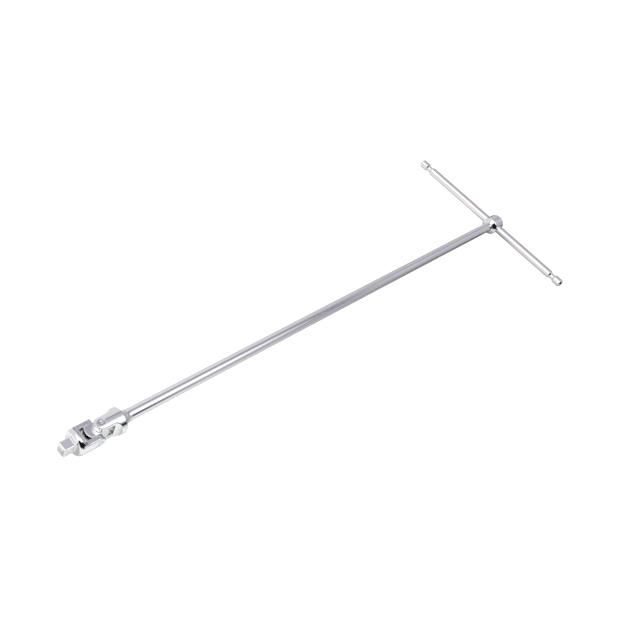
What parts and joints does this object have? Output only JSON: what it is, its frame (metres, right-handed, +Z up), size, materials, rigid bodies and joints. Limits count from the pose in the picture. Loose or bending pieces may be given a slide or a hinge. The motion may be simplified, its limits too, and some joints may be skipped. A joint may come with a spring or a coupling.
{
  "type": "sliding T-handle driver with universal joint",
  "caption": "Long T-handle socket driver: a bar slides through the head of a round shaft, and a two-pin universal joint carries a ball-detent drive square.",
  "frame": {"origin": "centre of the drive square's end face", "axes": "+X along the straightened tool from the drive square to the handle, +Y along the sliding bar, +Z up when the tool lies on a bench"},
  "size_m": [0.6392, 0.232, 0.0228],
  "materials": {
    "yoke_chrome": "polished chrome plate on a forged and milled yoke",
    "block_chrome": "polished chrome plate",
    "shaft_chrome": "polished chrome plate on drawn bar, fine lengthwise polishing marks",
    "head_chrome": "polished chrome plate on a turned head",
    "bar_chrome": "bright polished chrome plate on drawn bar",
    "pin_steel": "riveted steel pin ends, plated, with peening marks",
    "ball_steel": "hardened and polished bearing ball",
    "spring_steel": "spring wire, lightly oiled"
  },
  "bodies": {
    "handle": {"shaft_yoke": "yoke_chrome", "rear_pin": "pin_steel", "shaft": "shaft_chrome", "handle_head": "head_chrome", "bar_ball_spring": "spring_steel"},
    "block": {"centre_block": "block_chrome"},
    "drive": {"drive_yoke": "yoke_chrome", "front_pin": "pin_steel", "socket_ball_spring": "spring_steel"},
    "bar": {"sliding_bar": "bar_chrome"},
    "bar_ball": {"bar_ball": "ball_steel"},
    "socket_ball": {"socket_ball": "ball_steel"}
  },
  "joints": [
    {"name": "rear_hinge", "type": "hinge", "parent": "handle", "child": "block", "pos_m": [0.03535, 0, 0], "axis": [0, 0, 1], "range_deg": [-50, 50]},
    {"name": "front_hinge", "type": "hinge", "parent": "block", "child": "drive", "pos_m": [0.0291, 0, 0], "axis": [0, 1, 0], "range_deg": [-50, 50]},
    {"name": "bar_slide", "type": "slide", "parent": "handle", "child": "bar", "axis": [0, 1, 0], "range_m": [-0.1076, 0.0964]},
    {"name": "bar_ball_press", "type": "slide", "parent": "handle", "child": "bar_ball", "axis": [-1, 0, 0], "range_m": [0, 0.0006], "stiffness_N_per_m": 3000, "springref_m": -0.001, "deforming": ["bar_ball_spring"]},
    {"name": "socket_ball_press", "type": "slide", "parent": "drive", "child": "socket_ball", "axis": [0, -1, 0], "range_m": [0, 0.0007], "stiffness_N_per_m": 3000, "springref_m": -0.001, "deforming": ["socket_ball_spring"]}
  ]
}
